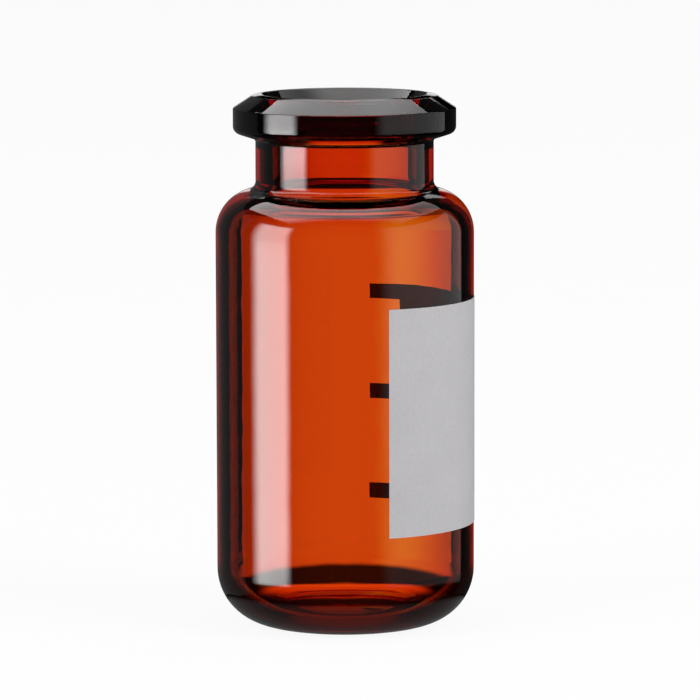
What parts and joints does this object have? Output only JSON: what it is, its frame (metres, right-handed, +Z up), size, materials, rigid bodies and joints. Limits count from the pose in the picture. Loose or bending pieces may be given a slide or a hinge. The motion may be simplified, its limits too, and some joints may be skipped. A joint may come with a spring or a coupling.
{
  "type": "glass sample vial",
  "caption": "Amber glass sample vial with a bevelled crimp flange, short neck, rounded shoulder and heel, a white enamel write-on patch and fill ticks beside it.",
  "frame": {"origin": "centre of the base, on the plane that the vial stands on", "axes": "+Z up along the vial's axis, -Y towards the front, with the write-on patch on the +X side"},
  "size_m": [0.0226, 0.0226, 0.0464],
  "materials": {
    "amber_glass": "clear amber tubing glass, fire polished",
    "patch_enamel": "matt fired white enamel with a fine printed grain",
    "tick_enamel": "matt fired white enamel"
  },
  "bodies": {
    "root": {"glass_vial": "amber_glass", "write_on_patch": "patch_enamel", "graduation_marks": "tick_enamel"}
  },
  "joints": []
}
